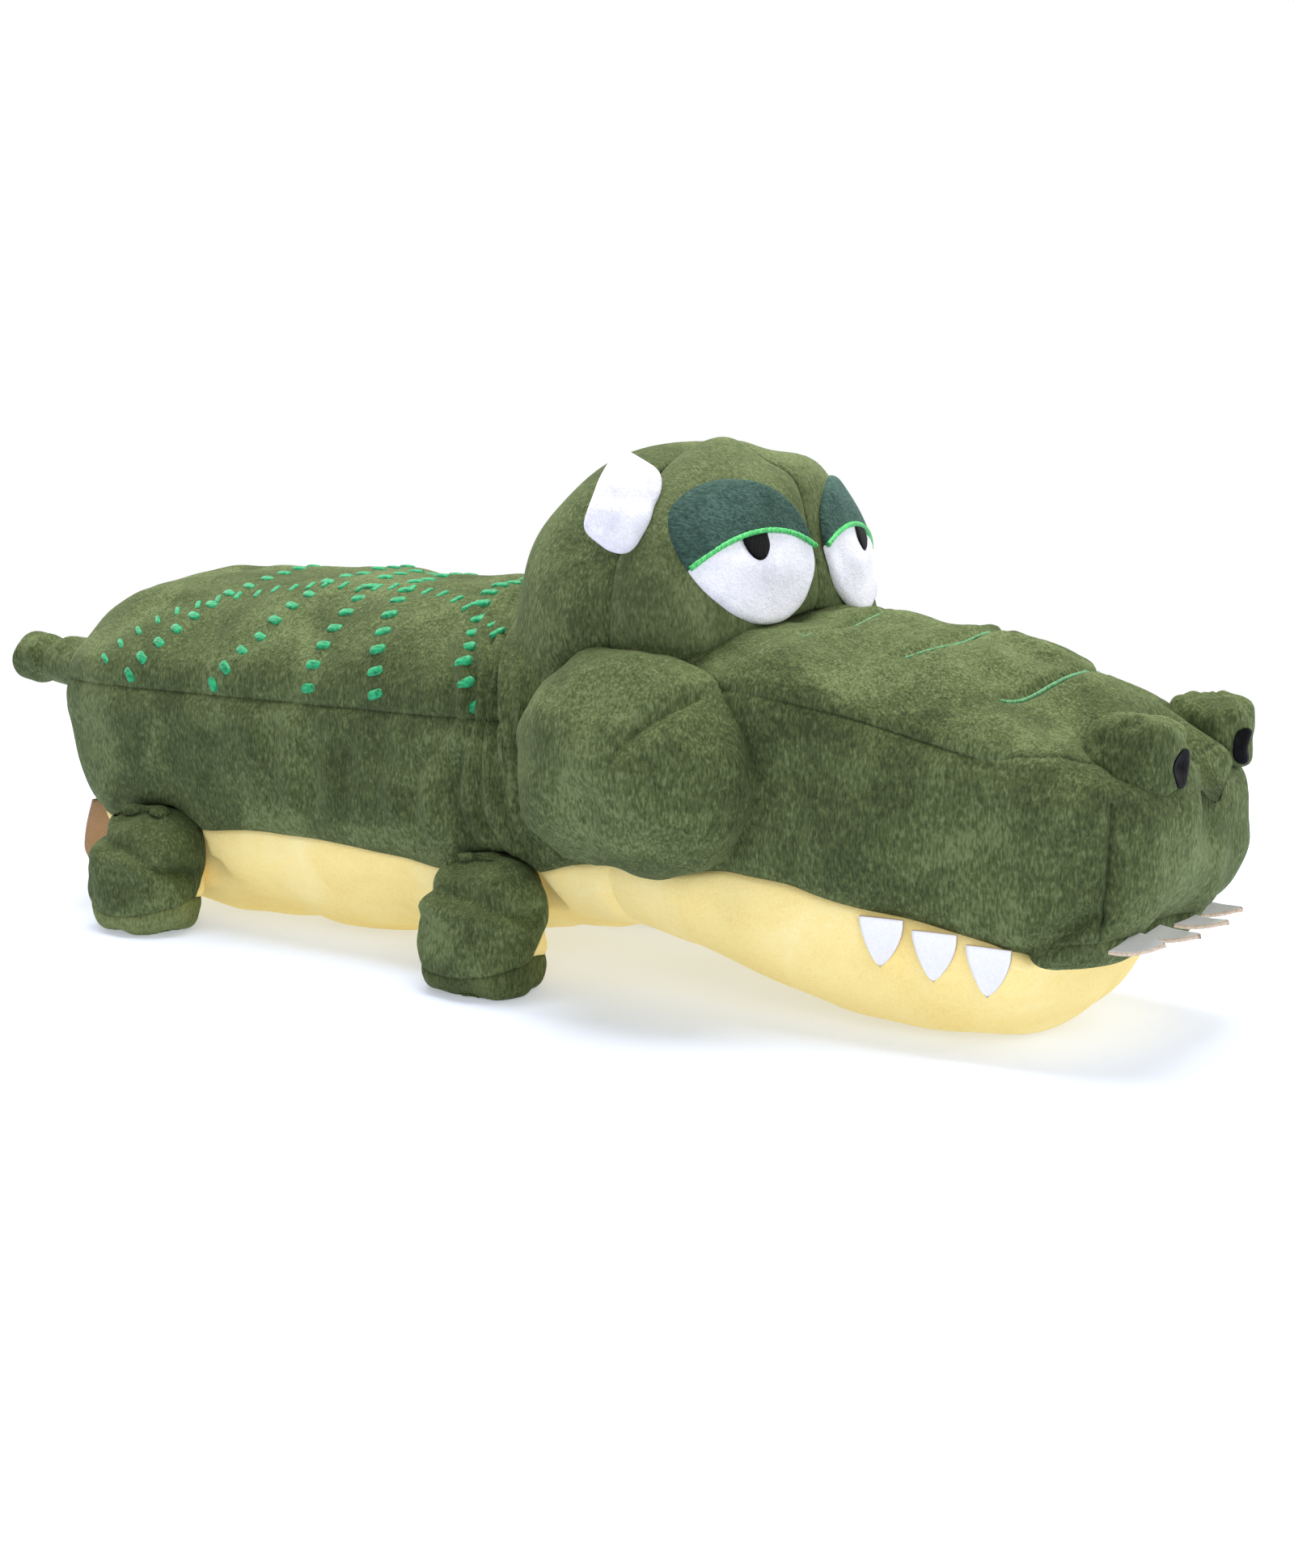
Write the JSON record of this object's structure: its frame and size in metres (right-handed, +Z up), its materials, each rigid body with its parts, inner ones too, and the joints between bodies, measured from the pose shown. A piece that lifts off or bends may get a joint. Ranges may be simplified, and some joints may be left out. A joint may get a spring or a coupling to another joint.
{
  "type": "plush crocodile",
  "caption": "Stuffed toy crocodile that lies on its belly, with a long boxy muzzle, sleepy eyes, round cheeks, felt teeth, short legs and a small tail.",
  "frame": {"origin": "middle of the toy's footprint, on the surface that its belly, jaw and soles rest on", "axes": "+X towards the nose, +Y towards the toy's left side, +Z up"},
  "size_m": [0.8058, 0.282, 0.271],
  "materials": {
    "green_plush": "short-pile velvet plush, olive green",
    "brow_plush": "short-pile plush, lighter green",
    "yellow_plush": "smooth short-pile plush, soft yellow",
    "sole_plush": "short-pile plush, green",
    "white_plush": "short-pile plush, white",
    "lid_plush": "short-pile plush, dark teal",
    "black_thread": "satin embroidery, black",
    "white_felt": "pressed felt, white, 2 mm",
    "filling": "polyester fibre filling"
  },
  "bodies": {
    "torso": {"back_panel": "green_plush", "flank_right": "green_plush", "flank_left": "green_plush", "belly_panel": "yellow_plush", "body_filling": "filling"},
    "tail": {"tail_cover": "green_plush", "tail_filling": "filling"},
    "leg_front_right": {"leg_front_right_outer": "green_plush", "leg_front_right_inner": "yellow_plush", "leg_front_right_sole": "sole_plush", "leg_front_right_filling": "filling"},
    "leg_front_left": {"leg_front_left_outer": "green_plush", "leg_front_left_inner": "yellow_plush", "leg_front_left_sole": "sole_plush", "leg_front_left_filling": "filling"},
    "leg_rear_right": {"leg_rear_right_outer": "green_plush", "leg_rear_right_inner": "yellow_plush", "leg_rear_right_sole": "sole_plush", "leg_rear_right_filling": "filling"},
    "leg_rear_left": {"leg_rear_left_outer": "green_plush", "leg_rear_left_inner": "yellow_plush", "leg_rear_left_sole": "sole_plush", "leg_rear_left_filling": "filling"},
    "head": {"hood": "green_plush", "brow_right": "brow_plush", "brow_left": "brow_plush", "head_filling": "filling", "cheek_right": "green_plush", "cheek_left": "green_plush", "snout_top": "green_plush", "snout_side_right": "green_plush", "snout_side_left": "green_plush", "snout_front": "green_plush", "lower_lip": "green_plush", "jaw": "yellow_plush", "snout_filling": "filling", "eye_white_right": "white_plush", "eye_white_left": "white_plush", "eyelid_right": "lid_plush", "eyelid_left": "lid_plush", "pupil_right": "black_thread", "pupil_left": "black_thread", "nostril_right": "green_plush", "nostril_left": "green_plush", "nostril_spot_right": "black_thread", "nostril_spot_left": "black_thread"},
    "ear_right": {"ear_right": "white_plush"},
    "ear_left": {"ear_left": "white_plush"},
    "side_tooth_right_1": {"side_tooth_right_1": "white_felt"},
    "side_tooth_right_2": {"side_tooth_right_2": "white_felt"},
    "side_tooth_right_3": {"side_tooth_right_3": "white_felt"},
    "side_tooth_left_1": {"side_tooth_left_1": "white_felt"},
    "side_tooth_left_2": {"side_tooth_left_2": "white_felt"},
    "side_tooth_left_3": {"side_tooth_left_3": "white_felt"},
    "front_tooth_1": {"front_tooth_1": "white_felt"},
    "front_tooth_2": {"front_tooth_2": "white_felt"},
    "front_tooth_3": {"front_tooth_3": "white_felt"},
    "front_tooth_4": {"front_tooth_4": "white_felt"}
  },
  "joints": [
    {"name": "neck_turn", "type": "hinge", "parent": "torso", "child": "head", "pos_m": [0.046, 0, 0.135], "axis": [0, 0, 1], "range_deg": [-8, 8], "stiffness_Nm_per_rad": 3},
    {"name": "tail_wag", "type": "hinge", "parent": "torso", "child": "tail", "pos_m": [-0.279, 0, 0.118], "axis": [0, 0, 1], "range_deg": [-25, 25], "stiffness_Nm_per_rad": 0.2},
    {"name": "leg_front_right_swing", "type": "hinge", "parent": "torso", "child": "leg_front_right", "pos_m": [0.062, -0.102, 0.042], "axis": [0, 1, 0], "range_deg": [-15, 15], "stiffness_Nm_per_rad": 0.3},
    {"name": "leg_front_left_swing", "type": "hinge", "parent": "torso", "child": "leg_front_left", "pos_m": [0.062, 0.102, 0.042], "axis": [0, 1, 0], "range_deg": [-15, 15], "stiffness_Nm_per_rad": 0.3},
    {"name": "leg_rear_right_swing", "type": "hinge", "parent": "torso", "child": "leg_rear_right", "pos_m": [-0.18, -0.102, 0.042], "axis": [0, 1, 0], "range_deg": [-15, 15], "stiffness_Nm_per_rad": 0.3},
    {"name": "leg_rear_left_swing", "type": "hinge", "parent": "torso", "child": "leg_rear_left", "pos_m": [-0.18, 0.102, 0.042], "axis": [0, 1, 0], "range_deg": [-15, 15], "stiffness_Nm_per_rad": 0.3},
    {"name": "ear_right_fold", "type": "hinge", "parent": "head", "child": "ear_right", "pos_m": [0.146, -0.08484, 0.23848], "axis": [0, -0.6167, -0.7872], "range_deg": [0, 25], "stiffness_Nm_per_rad": 0.02},
    {"name": "ear_left_fold", "type": "hinge", "parent": "head", "child": "ear_left", "pos_m": [0.146, 0.08484, 0.23848], "axis": [0, -0.6167, 0.7872], "range_deg": [0, 25], "stiffness_Nm_per_rad": 0.02},
    {"name": "side_tooth_right_1_lift", "type": "hinge", "parent": "head", "child": "side_tooth_right_1", "pos_m": [0.2795, -0.08866, 0.06221], "axis": [-0.9945, -0.1049, 0], "range_deg": [0, 40], "stiffness_Nm_per_rad": 0.002},
    {"name": "side_tooth_right_2_lift", "type": "hinge", "parent": "head", "child": "side_tooth_right_2", "pos_m": [0.3045, -0.08573, 0.05824], "axis": [-0.9963, -0.0857, 0], "range_deg": [0, 40], "stiffness_Nm_per_rad": 0.002},
    {"name": "side_tooth_right_3_lift", "type": "hinge", "parent": "head", "child": "side_tooth_right_3", "pos_m": [0.3295, -0.083, 0.05429], "axis": [-0.9967, -0.0817, 0], "range_deg": [0, 40], "stiffness_Nm_per_rad": 0.002},
    {"name": "side_tooth_left_1_lift", "type": "hinge", "parent": "head", "child": "side_tooth_left_1", "pos_m": [0.2795, 0.08866, 0.06221], "axis": [0.9945, -0.1049, 0], "range_deg": [0, 40], "stiffness_Nm_per_rad": 0.002},
    {"name": "side_tooth_left_2_lift", "type": "hinge", "parent": "head", "child": "side_tooth_left_2", "pos_m": [0.3045, 0.08573, 0.05824], "axis": [0.9963, -0.0857, 0], "range_deg": [0, 40], "stiffness_Nm_per_rad": 0.002},
    {"name": "side_tooth_left_3_lift", "type": "hinge", "parent": "head", "child": "side_tooth_left_3", "pos_m": [0.3295, 0.083, 0.05429], "axis": [0.9967, -0.0817, 0], "range_deg": [0, 40], "stiffness_Nm_per_rad": 0.002},
    {"name": "front_tooth_1_flap", "type": "hinge", "parent": "head", "child": "front_tooth_1", "pos_m": [0.38227, -0.039, 0.0588], "axis": [0, 1, 0], "range_deg": [-25, 25], "stiffness_Nm_per_rad": 0.002},
    {"name": "front_tooth_2_flap", "type": "hinge", "parent": "head", "child": "front_tooth_2", "pos_m": [0.38227, -0.013, 0.0588], "axis": [0, 1, 0], "range_deg": [-25, 25], "stiffness_Nm_per_rad": 0.002},
    {"name": "front_tooth_3_flap", "type": "hinge", "parent": "head", "child": "front_tooth_3", "pos_m": [0.38227, 0.013, 0.0588], "axis": [0, 1, 0], "range_deg": [-25, 25], "stiffness_Nm_per_rad": 0.002},
    {"name": "front_tooth_4_flap", "type": "hinge", "parent": "head", "child": "front_tooth_4", "pos_m": [0.38227, 0.039, 0.0588], "axis": [0, 1, 0], "range_deg": [-25, 25], "stiffness_Nm_per_rad": 0.002}
  ]
}
